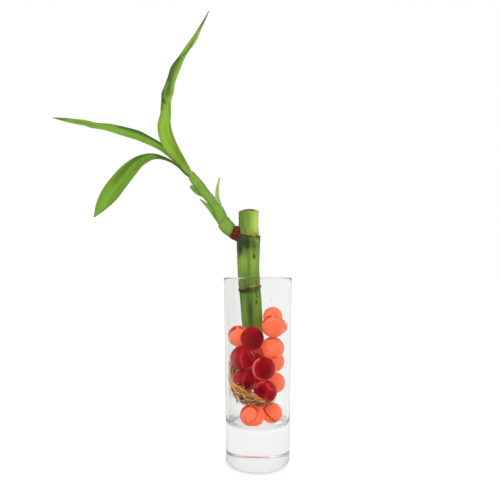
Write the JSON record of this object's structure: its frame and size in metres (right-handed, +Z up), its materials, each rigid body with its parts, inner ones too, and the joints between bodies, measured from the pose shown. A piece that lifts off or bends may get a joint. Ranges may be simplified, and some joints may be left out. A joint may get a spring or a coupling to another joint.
{
  "type": "lucky bamboo in a glass vase",
  "caption": "Lucky bamboo cutting with a leafy side shoot, standing in a tall clear glass vase on red water-gel beads.",
  "frame": {"origin": "centre of the flat foot of the glass vase", "axes": "+Z up along the vase; -X is the side that the leafy shoot leans to; -Y is the side that it is looked at from"},
  "size_m": [0.1409, 0.0382, 0.2575],
  "materials": {
    "clear_glass": "clear, polished",
    "cane_skin": "smooth green skin with darker streaks, brown rings and scars",
    "bud_tissue": "matt red-brown",
    "shoot_skin": "smooth, slightly waxy",
    "bract": "pale, matt, fine veins",
    "leaf": "satin, fine parallel veins",
    "root_fibre": "matt fibres",
    "orange_gel": "wet, clear orange-red gel",
    "crimson_gel": "wet, deep crimson gel"
  },
  "bodies": {
    "root": {"glass_vase": "clear_glass", "cane": "cane_skin", "shoot_collar": "bud_tissue", "shoot_stem": "shoot_skin", "bract_right": "bract", "bract_left": "bract", "bract_stub": "bract", "leaf_upright": "leaf", "leaf_left": "leaf", "leaf_drooping": "leaf", "roots": "root_fibre", "bead_01": "orange_gel", "bead_02": "orange_gel", "bead_03": "crimson_gel", "bead_04": "orange_gel", "bead_05": "orange_gel", "bead_06": "orange_gel", "bead_07": "crimson_gel", "bead_08": "orange_gel", "bead_09": "crimson_gel", "bead_10": "crimson_gel", "bead_11": "crimson_gel", "bead_12": "crimson_gel", "bead_13": "orange_gel", "bead_14": "crimson_gel", "bead_15": "orange_gel", "bead_16": "orange_gel", "bead_17": "orange_gel"}
  },
  "joints": []
}
